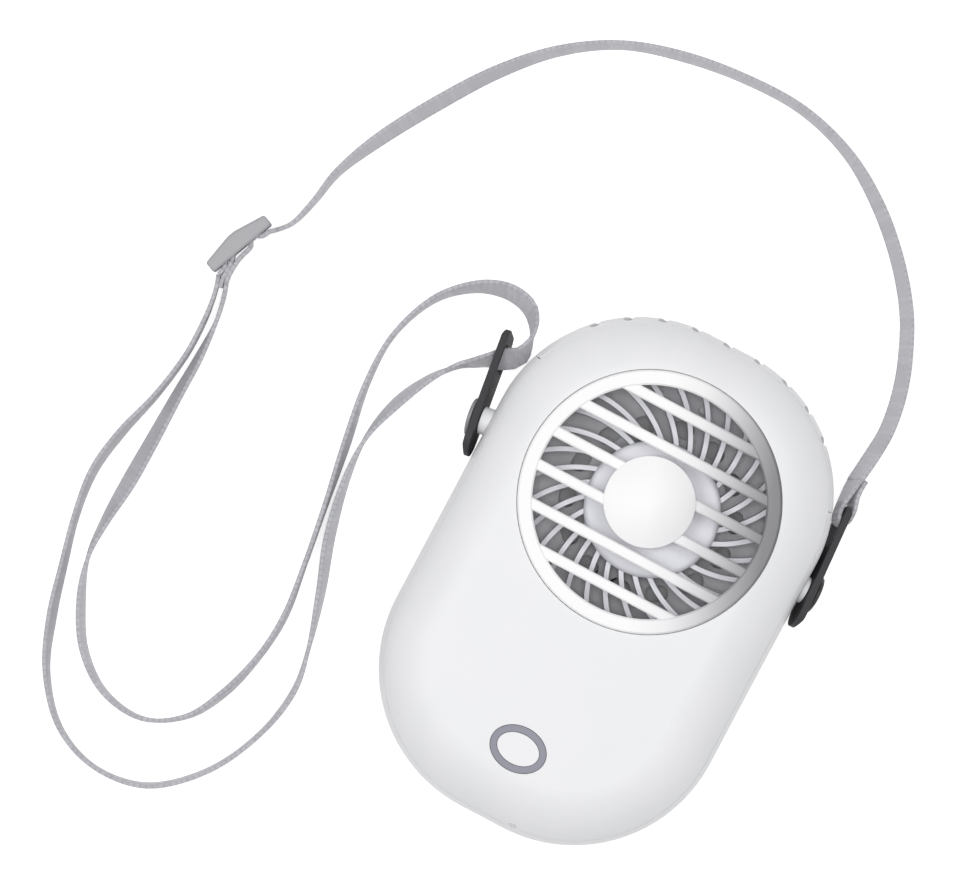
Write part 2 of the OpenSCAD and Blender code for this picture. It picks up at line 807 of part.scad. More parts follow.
module stator_coils() {
    l = stator_r - tooth_tip - stator_ring_r - coil_foot - clear;
    color("peru") on_shaft(stator_z) ring_of(tooth_count, stator_ring_r + coil_foot) difference() {
        translate([0, -tooth_w/2 - coil_t, -coil_end]) cube([l, tooth_w + 2*coil_t, stator_h + 2*coil_end]);
        translate([-over, -tooth_w/2 - press, -press])
            cube([l + 2*over, tooth_w + 2*press, stator_h + 2*press]);
    }
}

module motor_base() {
    color("dimgray") on_shaft(duct_top) difference() {
        union() {
            cylinder(flange_t, r = flange_r);
            cylinder(tube_top - duct_top, r = tube_r);
        }
        translate([0, 0, -over]) cylinder(tube_top - duct_top + 2*over, r = bearing_r);
        ring_of(motor_screw_count, motor_screw_ring_r) translate([0, 0, -over])
            cylinder(flange_t + 2*over, r = motor_screw_r + slip);
    }
}

module shaft_bearing() {
    color("darkgoldenrod") on_shaft(bearing_z) tube(bearing_r - press, shaft_r + run, bearing_l);
}

module motor_screws() {
    color("silver") on_shaft(bearing_z) ring_of(motor_screw_count, motor_screw_ring_r) {
        cylinder(motor_screw_head_t, r = motor_screw_head_r);
        translate([0, 0, -motor_screw_l]) cylinder(motor_screw_l, r = motor_screw_r);
    }
}

module motor_leads() {
    color("firebrick") for (i = [-1:1]) translate([i*lead_pitch, 0, 0]) lead(motor_lead_route);
}

// Button and board

module button() {
    color("white") translate([0, -button_y, 0]) {
        translate([0, 0, inner_top - wall/2]) linear_extrude(face_z + button_face - inner_top + wall/2)
            oval(button_a - button_gap, button_b - button_gap);
        translate([0, 0, inner_top - wall/2 - button_flange_t]) linear_extrude(button_flange_t)
            oval(button_a + button_skirt, button_b + button_skirt);
        translate([0, 0, switch_top + plunger_up])
            cylinder(inner_top - wall/2 - switch_top - plunger_up, r = stem_r);
    }
}

module button_ring() {
    color("darkgray") translate([0, -button_y, 0]) difference() {
        union() {
            translate([0, 0, inner_top - ring_flange_t])
                linear_extrude(face_z + ring_face - inner_top + ring_flange_t)
                oval(button_ring_a, button_ring_b);
            translate([0, 0, inner_top - ring_flange_t]) linear_extrude(ring_flange_t)
                oval(button_ring_a + ring_flange, button_ring_b + ring_flange);
        }
        translate([0, 0, inner_top - ring_flange_t - over]) linear_extrude(body_t) oval(button_a, button_b);
    }
}

module switch_plunger() {
    color("dimgray") translate([0, -button_y, switch_top - plunger_down])
        cylinder(plunger_down + plunger_up, r = plunger_r);
}

module switch_body() {
    color("silver") translate([0, -button_y, board_top]) difference() {
        translate([-switch_w/2, -switch_w/2, 0]) cube([switch_w, switch_w, switch_h]);
        translate([0, 0, switch_h - plunger_down - button_travel - slip])
            cylinder(switch_h, r = plunger_r + run);
    }
}

module circuit_board() {
    color("seagreen") translate([0, 0, board_z]) linear_extrude(board_t) difference() {
        intersection() {
            outline(board_in);
            translate([-board_half_w, board_low_y]) square([2*board_half_w, board_high_y - board_low_y]);
        }
        for (p = screw_places) translate(p) circle(screw_post_r + board_notch);
        for (x = [-1, 1]) translate([x*post_top_x, post_top_y]) circle(board_screw_r + slip);
    }
}

module on_board(place, size) {
    translate([place[0] - size[0]/2, place[1] - size[1]/2, board_top]) cube(size);
}

module board_parts() {
    color("black") {
        on_board(chip_place, chip_size);
        on_board(choke_place, choke_size);
        for (x = [motor_plug_x, battery_plug_x]) on_board([x, plug_y], plug_size);
    }
}

module board_screws() {
    color("silver") for (x = [-1, 1]) translate([x*post_top_x, post_top_y, board_top]) {
        cylinder(board_screw_head_t, r = board_screw_head_r);
        translate([0, 0, -board_screw_l + slip]) cylinder(board_screw_l - slip, r = board_screw_r - press);
    }
}

module ring_lights() {
    color("ivory") for (x = [-1, 1]) on_board([x*led_x, -button_y], led_size);
}

// Runs outwards through the rounded bottom edge of the front shell
module charge_light_place(z) {
    translate([light_x, edge_r - body_l/2, body_t - edge_r]) rotate([light_rise, 0, 0])
        translate([0, 0, edge_r - light_l + z]) children();
}

module light_hole() {
    charge_light_place(-over) cylinder(light_l + 2*over, r = light_r + press);
}

module charge_light() {
    color("lightgray") charge_light_place(0) cylinder(light_l, r = light_r);
}

// Lies along Y, with its mouth at the bottom edge of the casing
module usb_place(y) {
    translate([0, y, board_z - usb_h/2]) rotate([90, 0, 0]) children();
}

module usb_opening() {
    usb_place(wall + over - body_l/2) linear_extrude(wall + 2*over)
        stadium(usb_w + 2*usb_clear, usb_h + 2*usb_clear);
}

module usb_shell() {
    color("silver") usb_place(usb_inset + usb_l - body_l/2) difference() {
        linear_extrude(usb_l) stadium(usb_w, usb_h);
        translate([0, 0, usb_back]) linear_extrude(usb_l) stadium(usb_w - 2*usb_t, usb_h - 2*usb_t);
    }
}

module usb_tongue() {
    color("black") usb_place(usb_inset + usb_l - usb_back - body_l/2)
        translate([-usb_tongue_w/2, -usb_tongue_t/2, 0]) cube([usb_tongue_w, usb_tongue_t, usb_tongue_l]);
}

module battery() {
    w = battery_w/2 - battery_round;
    h = battery_t - 2*battery_round;
    color("lightsteelblue") translate([0, battery_y + battery_l/2, battery_z]) rotate([90, 0, 0])
        linear_extrude(battery_l) {
            translate([-w, 0]) square([2*w, battery_t]);
            translate([-battery_w/2, battery_round]) square([battery_w, h]);
            for (x = [-w, w], z = [battery_round, battery_t - battery_round])
                translate([x, z]) circle(battery_round);
        }
}

module battery_pad() {
    w = battery_w - 2*pad_margin;
    l = battery_l - 2*pad_margin;
    color("dimgray") translate([-w/2, battery_y - l/2, wall]) cube([w, l, pad_t]);
}

module battery_leads() {
    color("firebrick") for (i = [-1, 1]) translate([i*lead_pitch, 0, 0]) lead(battery_lead_route);
}

module case_screws() {
    color("silver") for (p = screw_places) translate([p[0], p[1], screw_seat_z]) {
        cylinder(screw_l, r = screw_r);
        difference() {
            translate([0, 0, -screw_head_t]) cylinder(screw_head_t, r = screw_head_r);
            for (a = [0, 90]) rotate(a) translate([-cross_l/2, -cross_w/2, -screw_head_t - over])
                cube([cross_l, cross_w, cross_deep + over]);
        }
    }
}

// Links on the sides. On each side X points outwards along the pin and Y along the link.

module right_side() {
    translate([body_w/2, pivot_y, pivot_z]) rotate([0, pivot_tilt, right_turn]) children();
}

module left_side() {
    mirror([1, 0, 0]) translate([body_w/2, pivot_y, pivot_z]) rotate([0, pivot_tilt, -left_turn]) children();
}

module pivot_boss(boss_out) {
    translate([-boss_in, 0, 0]) rotate([0, 90, 0]) cylinder(boss_in + boss_out, r = boss_r);
}

module pivot_bore(boss_out) {
    translate([-pin_end - slip, 0, 0]) rotate([0, 90, 0])
        cylinder(pin_end + boss_out + 2*over, r = pin_r + run);
}

module pivot_pin(boss_out) {
    rotate([0, 90, 0]) {
        translate([0, 0, -pin_end]) cylinder(pin_end + head_x(boss_out), r = pin_r);
        translate([0, 0, head_x(boss_out)]) rotate_extrude() {
            square([head_r, head_t - head_round]);
            square([head_r - head_round, head_t]);
            translate([head_r - head_round, head_t - head_round]) circle(head_round);
        }
    }
}

module link_outline() {
    translate([link_w/2 - link_tail, 0]) circle(link_w/2);
    translate([link_w/2 - link_tail, -link_w/2])
        square([link_top - link_end_r + link_tail - link_w/2, link_w]);
    translate([0, link_end_r - link_w/2]) square([link_top, link_w - 2*link_end_r]);
    for (y = [-1, 1]) translate([link_top - link_end_r, y*(link_w/2 - link_end_r)]) circle(link_end_r);
}

module window_outline() {
    l = window_l/2 - window_r;
    w = window_w/2 - window_r;
    translate([window_y, 0]) {
        square([window_l, 2*w], center = true);
        square([2*l, window_w], center = true);
        for (x = [-l, l], y = [-w, w]) translate([x, y]) circle(window_r);
    }
}

module strap_link(boss_out) {
    rotate([-link_droop, 0, 0]) translate([link_x(boss_out), 0, 0]) difference() {
        intersection() {
            rotate([90, 0, 90]) linear_extrude(link_t) link_outline();
            translate([0, 0, -link_w]) linear_extrude(2*link_w) polygon([
                [0, -link_tail], [link_t - link_chamfer_t, -link_tail], [link_t, link_chamfer - link_tail],
                [link_t, link_top - link_chamfer], [link_t - link_chamfer_t, link_top], [0, link_top]]);
        }
        translate([-over, 0, 0]) rotate([0, 90, 0]) cylinder(link_t + 2*over, r = pin_r + run);
        translate([-over, 0, 0]) rotate([90, 0, 90]) linear_extrude(link_t + 2*over) window_outline();
    }
}

module left_pivot() {
    color("gray") left_side() pivot_pin(left_boss_out);
}

module right_pivot() {
    color("black") right_side() pivot_pin(right_boss_out);
}

module left_link() {
    color("darkslategray") left_side() strap_link(left_boss_out);
}

module right_link() {
    color("darkslategray") right_side() strap_link(right_boss_out);
}

// Strap

// A flat ribbon that follows a path in the plane
module ribbon(path) {
    n = len(path);
    left = [for (i = [0:n - 1]) path[i] + mitre(path, i)*strap_t/2];
    right = [for (i = [n - 1:-1:0]) path[i] - mitre(path, i)*strap_t/2];
    polygon(concat(left, right));
}

// Way from a point of a path to the edge of a ribbon of half width 1, so that its bands keep their width
function turned(v) = [-v[1], v[0]];
function mitre(p, i) =
    let (a = turned(unit(p[max(i, 1)] - p[max(i, 1) - 1])),
        b = turned(unit(p[min(i, len(p) - 2) + 1] - p[min(i, len(p) - 2)])))
    (a + b)/(1 + a*b);

module strap_loop() {
    link_in = link_x(right_boss_out);
    inside = link_in - loop_gap - strap_t/2;
    outside = link_in + link_t + loop_gap + strap_t/2;
    middle = (inside + outside)/2;
    low = bar_low - loop_gap - strap_t/2;
    high = link_top + loop_gap;
    neck = high + loop_neck;
    half = strap_t + loop_seam;
    lie = strap_t/2 + loop_seam;
    color("darkgray") right_side() rotate([-link_droop, 0, 0]) translate([0, 0, -strap_w/2]) {
        linear_extrude(strap_w) ribbon([[middle - lie, neck], [inside, high], [inside, low],
            [outside, low], [outside, high], [middle + lie, neck]]);
        translate([middle - half, neck - strap_t, 0]) cube([2*half, loop_sewn_l + strap_t, strap_w]);
    }
}

// Direction of a route at a point, from its neighbours
function unit(v) = v/norm(v);
function heading(p, i) = unit(p[min(i + 1, len(p) - 1)] - p[max(i - 1, 0)]);

// A tube of many sides through points, each with a direction that the section's first axis follows
module sweep(points, ups, section) {
    n = len(section);
    m = len(points);
    corners = [for (i = [0:m - 1])
        let (t = heading(points, i), side = unit(cross(t, ups[i])), up = cross(side, t))
        for (q = section) points[i] + q[0]*up + q[1]*side];
    sides = [for (i = [0:m - 2], k = [0:n - 1])
        let (a = i*n + k, b = i*n + (k + 1)%n) for (f = [[a, b, b + n], [a, b + n, a + n]]) f];
    ends = [for (k = [1:n - 2]) for (f = [[0, k + 1, k], [(m - 1)*n, (m - 1)*n + k, (m - 1)*n + k + 1]]) f];
    polyhedron(corners, concat(sides, ends), convexity = 10);
}

// Points of a strap at half its width above its lower edge, and the direction across its width
function strap_point(r) =
    [r[0], r[1], r[2] + strap_w/2*abs(cos(r[3])) + strap_t/2*abs(sin(r[3]))];
function strap_up(p, i, lean) =
    let (t = heading(p, i)) cos(lean)*[0, 0, 1] + sin(lean)*unit([-t[1], t[0], 0]);
strap_section = let (w = strap_w/2, t = strap_t/2, b = strap_t*strap_bevel_share)
    [[w, t - b], [w - b, t], [b - w, t], [-w, t - b], [-w, b - t], [b - w, -t], [w - b, -t], [w, b - t]];

module strap(route) {
    points = [for (r = route) strap_point(r)];
    sweep(points, [for (i = [0:len(route) - 1]) strap_up(points, i, route[i][3])], strap_section);
}

module lead(route) {
    sweep(route, [for (p = route) [1, 0, 0]],
        [for (k = [0:lead_sides - 1]) polar(lead_r, -k*360/lead_sides)]);
}

module strap_arc() {
    color("darkgray") strap(arc_route);
}

module strap_outer() {
    color("darkgray") strap(outer_route);
}

module strap_inner() {
    color("darkgray") strap(inner_route);
}

module slider_strap() {
    color("darkgray") translate([slider_at[0], slider_at[1], strap_in_slider_z]) rotate(slider_turn)
        linear_extrude(strap_w) {
            ribbon(slider_run);
            ribbon(slider_loop);
        }
}

module slider() {
    l = slider_l/2;
    color("gray") translate(slider_at) rotate(slider_turn) difference() {
        linear_extrude(slider_w) polygon([[-l, 0], [l, 0], [l, slider_end_t], [slider_flat/2, slider_t],
            [-slider_flat/2, slider_t], [-l, slider_end_t]]);
        translate([0, 0, slider_rail]) {
            for (x = [0, 1]) mirror([x, 0, 0]) translate([slider_bar_w/2, -over, 0])
                cube([l - slider_end_bar - slider_bar_w/2, slider_t + 2*over, window_w]);
            translate([-slider_bar_w, slider_bar_t, 0]) cube([2*slider_bar_w, slider_t, window_w]);
        }
    }
}

rear_shell();
front_shell();
vent_strip();
front_grille();
grille_cap();
air_duct();
impeller();
rotor_cup();
rotor_magnet();
motor_shaft();
shaft_clip();
stator_core();
stator_coils();
motor_base();
shaft_bearing();
motor_screws();
motor_leads();
button();
button_ring();
switch_plunger();
switch_body();
circuit_board();
board_parts();
board_screws();
ring_lights();
charge_light();
usb_shell();
usb_tongue();
battery();
battery_pad();
battery_leads();
case_screws();
left_pivot();
right_pivot();
left_link();
right_link();
strap_loop();
strap_arc();
strap_outer();
strap_inner();
slider_strap();
slider();
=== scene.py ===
import json
import math
import bmesh
import bpy
from mathutils import Euler, Matrix, Vector


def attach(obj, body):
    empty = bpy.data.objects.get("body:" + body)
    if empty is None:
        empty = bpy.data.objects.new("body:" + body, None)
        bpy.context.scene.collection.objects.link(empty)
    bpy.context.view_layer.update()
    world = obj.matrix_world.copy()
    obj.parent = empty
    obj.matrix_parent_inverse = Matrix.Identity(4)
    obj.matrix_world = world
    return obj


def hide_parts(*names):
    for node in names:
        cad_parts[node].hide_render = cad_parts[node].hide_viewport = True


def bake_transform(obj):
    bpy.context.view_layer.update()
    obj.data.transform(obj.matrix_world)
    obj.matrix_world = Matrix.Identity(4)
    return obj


# Hanging neck fan on a pale table, seen from straight above.
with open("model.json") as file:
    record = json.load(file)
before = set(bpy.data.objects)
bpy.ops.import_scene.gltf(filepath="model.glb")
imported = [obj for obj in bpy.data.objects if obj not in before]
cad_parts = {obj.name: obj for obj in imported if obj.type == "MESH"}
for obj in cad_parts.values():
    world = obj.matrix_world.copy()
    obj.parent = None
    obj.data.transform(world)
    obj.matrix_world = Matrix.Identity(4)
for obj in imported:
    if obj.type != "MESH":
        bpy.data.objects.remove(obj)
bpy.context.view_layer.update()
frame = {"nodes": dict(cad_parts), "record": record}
mm = 0.001

view = {
    "centre": (-37.8, 13.2),  # point of the table under the middle of the picture
    "height": 1723,  # mm above the table, far enough that hardly a side wall shows
    "turn": 28,  # degrees; the fan lies slanted in the picture
    "lens": 300,
    "sensor": 36,
    "nearest": 0.01,  # metres
}


def makeCamera():
    data = bpy.data.cameras.new("camera")
    data.lens = view["lens"]
    data.sensor_fit = "HORIZONTAL"
    data.sensor_width = view["sensor"]
    data.clip_start = view["nearest"]
    camera = bpy.data.objects.new("camera", data)
    camera.location = (view["centre"][0]*mm, view["centre"][1]*mm, view["height"]*mm)
    camera.rotation_euler = (0, 0, math.radians(view["turn"]))
    bpy.context.collection.objects.link(camera)
    bpy.context.scene.camera = camera


makeCamera()
print("camera placed")

# Materials

def linear(hexColour):
    # sRGB hex to the linear colour that the shaders take
    channels = [int(hexColour[i:i + 2], 16)/255 for i in (1, 3, 5)]
    return [c/12.92 if c <= 0.04045 else ((c + 0.055)/1.055)**2.4 for c in channels] + [1]


def addNode(tree, kind, settings=None, links=None):
    # one node with its settings and what feeds its sockets
    node = tree.nodes.new(kind)
    for name, value in (settings or {}).items():
        if name in node.inputs:
            node.inputs[name].default_value = value
        else:
            setattr(node, name, value)
    for name, source in (links or {}).items():
        tree.links.new(source, node.inputs[name])
    return node


def newMaterial(name):
    material = bpy.data.materials.new(name)
    material.use_nodes = True
    material.node_tree.nodes.clear()
    return material, material.node_tree


def finishMaterial(tree, shader):
    addNode(tree, "ShaderNodeOutputMaterial", links={"Surface": shader.outputs[0]})


def ramp(tree, source, low, high, start=0.0, end=1.0):
    # a colour that runs from one hex value to another
    node = addNode(tree, "ShaderNodeValToRGB", links={"Fac": source})
    node.color_ramp.elements[0].position = start
    node.color_ramp.elements[0].color = linear(low)
    node.color_ramp.elements[1].position = end
    node.color_ramp.elements[1].color = linear(high)
    return node


def paintedSideShade(tree, place, tone, side):
    # painted shade: darkens a finish towards one side of a round piece, along a line through its middle
    offset = addNode(tree, "ShaderNodeVectorMath", {"operation": "SUBTRACT"}, {0: place})
    offset.inputs[1].default_value = [c*mm for c in side["middle"]]
    along = addNode(tree, "ShaderNodeVectorMath", {"operation": "DOT_PRODUCT"},
                    {0: offset.outputs["Vector"]})
    a = math.radians(side["angle"])
    along.inputs[1].default_value = (math.cos(a)/(side["radius"]*mm), math.sin(a)/(side["radius"]*mm), 0)
    shade = addNode(tree, "ShaderNodeValToRGB", links={"Fac": along.outputs["Value"]})
    for i, (position, colour) in enumerate(side["stops"]):
        stop = shade.color_ramp.elements[i] if i < 2 else shade.color_ramp.elements.new(position)
        stop.position = position
        stop.color = linear(colour)
    return addNode(tree, "ShaderNodeMixRGB", {"blend_type": "MULTIPLY", "Fac": 1.0},
                   {"Color1": tone.outputs["Color"], "Color2": shade.outputs["Color"]})


plastic = {
    "patch": 18,  # mm across the faint patches in tone and gloss
    "patchTones": (0.3, 0.62),  # where in the noise the worn and the clean tone lie
    "glossDown": 0.05,
    "glossUp": 0.07,
    "coatRoughness": 0.12,
}


def mouldedPlastic(name, colour, wornToneAndGapShade, rough, grain, depth, coat=0.0, edge=0.18, side=None):
    # Moulded plastic: fine spark-eroded grain in mm, faint uneven gloss, edges softened by the tool, and
    # painted shade towards one side where side is given
    material, tree = newMaterial(name)
    coords = addNode(tree, "ShaderNodeTexCoord")
    place = coords.outputs["Object"]
    grainNoise = addNode(tree, "ShaderNodeTexNoise",
                         {"Scale": 1/(grain*mm), "Detail": 3.0, "Roughness": 0.6}, {"Vector": place})
    broad = addNode(tree, "ShaderNodeTexNoise", {"Scale": 1/(plastic["patch"]*mm), "Detail": 4.0},
                    {"Vector": place})
    tone = ramp(tree, broad.outputs["Fac"], wornToneAndGapShade, colour, *plastic["patchTones"])
    # painted shade towards one side of the piece
    if side:
        tone = paintedSideShade(tree, place, tone, side)
    gloss = addNode(tree, "ShaderNodeMapRange",
                    {"To Min": rough - plastic["glossDown"], "To Max": rough + plastic["glossUp"]},
                    {"Value": broad.outputs["Fac"]})
    soft = addNode(tree, "ShaderNodeBevel", {"samples": 4, "Radius": edge*mm})
    relief = addNode(tree, "ShaderNodeBump", {"Strength": 1.0, "Distance": depth*mm},
                     {"Height": grainNoise.outputs["Fac"], "Normal": soft.outputs["Normal"]})
    shader = addNode(tree, "ShaderNodeBsdfPrincipled",
                     {"IOR": 1.5, "Coat Weight": coat, "Coat Roughness": plastic["coatRoughness"]},
                     {"Base Color": tone.outputs["Color"], "Roughness": gloss.outputs["Result"],
                      "Normal": relief.outputs["Normal"]})
    finishMaterial(tree, shader)
    return material


metalFinish = {
    "stretch": 12,  # times as long as wide that a scratch is
    "stainTones": (0.3, 0.6),
    "glossDown": 0.06,
    "glossUp": 0.12,
    "depth": 0.01,  # mm
}


def metal(name, colour, stain, rough, scratch):
    # Metal: base colour with dull stains and fine scratches in one direction
    material, tree = newMaterial(name)
    coords = addNode(tree, "ShaderNodeTexCoord")
    mapping = addNode(tree, "ShaderNodeMapping", {"Scale": (1, metalFinish["stretch"], 1)},
                      {"Vector": coords.outputs["Object"]})
    lines = addNode(tree, "ShaderNodeTexNoise", {"Scale": 1/(scratch*mm), "Detail": 5.0},
                    {"Vector": mapping.outputs["Vector"]})
    tone = ramp(tree, lines.outputs["Fac"], stain, colour, *metalFinish["stainTones"])
    gloss = addNode(tree, "ShaderNodeMapRange",
                    {"To Min": rough - metalFinish["glossDown"], "To Max": rough + metalFinish["glossUp"]},
                    {"Value": lines.outputs["Fac"]})
    bump = addNode(tree, "ShaderNodeBump", {"Strength": 0.4, "Distance": metalFinish["depth"]*mm},
                   {"Height": lines.outputs["Fac"]})
    shader = addNode(tree, "ShaderNodeBsdfPrincipled", {"Metallic": 1.0},
                     {"Base Color": tone.outputs["Color"], "Roughness": gloss.outputs["Result"],
                      "Normal": bump.outputs["Normal"]})
    finishMaterial(tree, shader)
    return material


tape = {
    "thread": 0.42,  # mm from rib to rib; the real weave is finer than the picture shows
    "weaveShare": 0.45,  # how strongly the weave shows beside the fuzz
    "fuzz": 3.0,  # tufts per mm
    "tones": (0.35, 0.95),  # where in the weave the dark and the light tone lie
    "flatHalf": 2.1,  # mm from the middle to where the woven edge starts
    "edgeStart": 0.15,  # mm over which it starts
    "edgeStitch": 1.3,  # mm from one edge loop to the next
    "stitchFrom": 0.2,  # part of the wave that lies between two loops
    "stitchShade": 0.55,  # how dark the painted shade in the gaps between the loops is
    "relief": 0.05,  # mm
}


def wave(tree, source, pitch):
    # a sine of the given pitch along one of the tape's directions
    angle = addNode(tree, "ShaderNodeMath", {"operation": "MULTIPLY"}, {0: source})
    angle.inputs[1].default_value = 2*math.pi/pitch
    return addNode(tree, "ShaderNodeMath", {"operation": "SINE"}, {0: angle.outputs[0]})


def wovenTape(name, light, dark, shade):
    # Woven polyester tape: ribs across its length, crossing warp threads, looped selvedges with painted
    # shade in the gaps between the loops, soft sheen
    material, tree = newMaterial(name)
    uv = addNode(tree, "ShaderNodeUVMap", {"uv_map": "tape"})
    split = addNode(tree, "ShaderNodeSeparateXYZ", links={"Vector": uv.outputs["UV"]})
    ribs = wave(tree, split.outputs["X"], tape["thread"])
    warps = wave(tree, split.outputs["Y"], tape["thread"])
    weave = addNode(tree, "ShaderNodeMath", {"operation": "MULTIPLY"},
                    {0: ribs.outputs[0], 1: warps.outputs[0]})
    level = addNode(tree, "ShaderNodeMapRange", {"From Min": -1.0, "From Max": 1.0},
                    {"Value": weave.outputs[0]})
    fuzz = addNode(tree, "ShaderNodeTexNoise", {"Scale": tape["fuzz"], "Detail": 4.0},
                   {"Vector": uv.outputs["UV"]})
    mixed = addNode(tree, "ShaderNodeMath", {"operation": "MULTIPLY_ADD"},
                    {0: level.outputs["Result"], 2: fuzz.outputs["Fac"]})
    mixed.inputs[1].default_value = tape["weaveShare"]
    tone = ramp(tree, mixed.outputs[0], dark, light, *tape["tones"])
    away = addNode(tree, "ShaderNodeMath", {"operation": "ABSOLUTE"}, {0: split.outputs["Y"]})
    edge = addNode(tree, "ShaderNodeMapRange",
                   {"From Min": tape["flatHalf"], "From Max": tape["flatHalf"] + tape["edgeStart"]},
                   {"Value": away.outputs[0]})
    loops = wave(tree, split.outputs["X"], tape["edgeStitch"])
    gaps = addNode(tree, "ShaderNodeMapRange",
                   {"From Min": tape["stitchFrom"], "From Max": 1.0, "To Max": tape["stitchShade"]},
                   {"Value": loops.outputs[0]})
    # painted shade in the gaps between the loops of the edges
    wornToneAndGapShade = addNode(tree, "ShaderNodeMath", {"operation": "MULTIPLY"},
                   {0: edge.outputs["Result"], 1: gaps.outputs["Result"]})
    stitched = addNode(tree, "ShaderNodeMixRGB", {"Color2": linear(shade)},
                       {"Fac": wornToneAndGapShade.outputs[0], "Color1": tone.outputs["Color"]})
    bump = addNode(tree, "ShaderNodeBump", {"Strength": 0.7, "Distance": tape["relief"]*mm},
                   {"Height": mixed.outputs[0]})
    shader = addNode(tree, "ShaderNodeBsdfPrincipled",
                     {"Roughness": 0.62, "IOR": 1.5, "Sheen Weight": 0.25, "Sheen Roughness": 0.4},
                     {"Base Color": stitched.outputs["Color"], "Normal": bump.outputs["Normal"]})
    finishMaterial(tree, shader)
    return material


# Painted shade on the grille: its finish turns grey towards one side of the rim
paintedGrilleShade = {
    "middle": (0, 19.2, 0),  # of the grille, mm
    "radius": 28.1,
    "angle": 18,  # degrees from the x axis towards y
    # share of the way from the middle to the rim, and the painted shade's tone there; the two ends come
    # first
    "stops": [(0.0, "#ffffff"), (1.0, "#747476"), (0.28, "#f2f2f3"), (0.5, "#d4d4d6"), (0.7, "#aaaaac"),
              (0.9, "#7c7c7e")],
}

materials = {
    # ABS casing, satin: pale, with broad soft highlights
    "casing_white": mouldedPlastic("satinWhiteAbs", "#f0f0f2", "#ecedef", 0.46, 0.35, 0.004),
    # ABS with a pearl lacquer, white; painted shade turns it to a soft metal grey at one side of its rim
    "grille_white": mouldedPlastic("pearlLacqueredAbsPaintedShade", "#fbfbfb", "#f8f8f9", 0.42, 0.3, 0.002,
                                   edge=0.1, side=paintedGrilleShade),
    # pale grey ABS round the wheel, dull
    "duct_grey": mouldedPlastic("greyMouldedAbs", "#e4e4e6", "#dcdcdf", 0.55, 0.3, 0.008),
    # light ABS of the blower wheel, a little cooler than the casing
    "impeller_grey": mouldedPlastic("paleGreyAbs", "#e6e6ec", "#e0e0e7", 0.45, 0.3, 0.004),
    # drawn steel sheet of the motor: smooth, with fine lines
    "motor_steel": metal("drawnSteel", "#a6a8ad", "#8f9095", 0.32, 0.8),
    # stacked iron sheets: dark and dull
    "magnet_iron": metal("laminatedIron", "#4a4a4d", "#39393c", 0.5, 0.4),
    # copper wire under clear enamel: warm and shiny, in fine lines as wide as the wire
    "coil_copper": metal("enamelledCopper", "#b46a3a", "#8f4a22", 0.35, 0.2),
    # sintered bronze: matt, brownish yellow
    "bearing_bronze": metal("sinteredBronze", "#a88a55", "#84683a", 0.5, 0.3),
    # steel screws with bright zinc on them
    "screw_steel": metal("platedScrewSteel", "#b9bbc0", "#9a9ca2", 0.3, 0.5),
    # soft PVC on the wires: dull, faded red
    "lead_red": mouldedPlastic("redPvc", "#77605f", "#6c5655", 0.5, 0.5, 0.004),
    # white button with half gloss
    "button_white": mouldedPlastic("halfGlossWhiteAbs", "#f1f1f4", "#eeeef1", 0.46, 0.4, 0.002, edge=0.25),
    # grey ring with half gloss
    "ring_grey": mouldedPlastic("greyHalfGlossAbs", "#8f8f9c", "#878794", 0.5, 0.4, 0.002),
    # black moulding compound of chips and plugs: half matt
    "board_black": mouldedPlastic("blackMoulding", "#1c1c1e", "#151517", 0.5, 0.4, 0.004),
    # solder mask over the board: deep green under a thin gloss
    "board_green": mouldedPlastic("solderMask", "#1f6b3f", "#1a5c36", 0.28, 0.6, 0.003, 0.2),
    # milky polycarbonate over the small lights
    "light_clear": mouldedPlastic("milkyPolycarbonate", "#d8d8dc", "#cfcfd4", 0.25, 0.5, 0.001, 0.3),
    # aluminium foil laminate of the cell: bright, with broad creases
    "battery_foil": metal("laminatedFoil", "#c3c6cc", "#aeb1b8", 0.35, 1.5),
    # closed-cell foam under the cell: charcoal and rough
    "pad_foam": mouldedPlastic("closedCellFoam", "#3a3a3c", "#2e2e30", 0.85, 0.25, 0.05),
    # nylon pins, the left one grey and the right one black: half matt
    "pin_grey": mouldedPlastic("greyPinNylon", "#8f8f92", "#858589", 0.4, 0.4, 0.004),
    "pin_black": mouldedPlastic("blackPinNylon", "#222224", "#1a1a1c", 0.4, 0.4, 0.004),
    # charcoal nylon with a fine matt grain
    "link_charcoal": mouldedPlastic("charcoalNylon", "#29292c", "#212124", 0.62, 0.25, 0.012, edge=0.25),
    # woven polyester tape: soft sheen, ribs across, painted shade in the gaps between the loops of its
    # edges
    "strap_grey": wovenTape("wovenPolyesterTape", "#cbcbd0", "#afafb6", "#a2a2a9"),
    # matt grey acetal
    "slider_grey": mouldedPlastic("greyAcetal", "#afafb2", "#a7a7ab", 0.5, 0.3, 0.006, edge=0.5),
}
print("materials made")


def meshObject(name, bm):
    mesh = bpy.data.meshes.new(name)
    bm.to_mesh(mesh)
    bm.free()
    obj = bpy.data.objects.new(name, mesh)
    bpy.context.collection.objects.link(obj)
    return obj


def dress(obj, slotName):
    obj.data.materials.clear()
    obj.data.materials.append(materials[slotName])


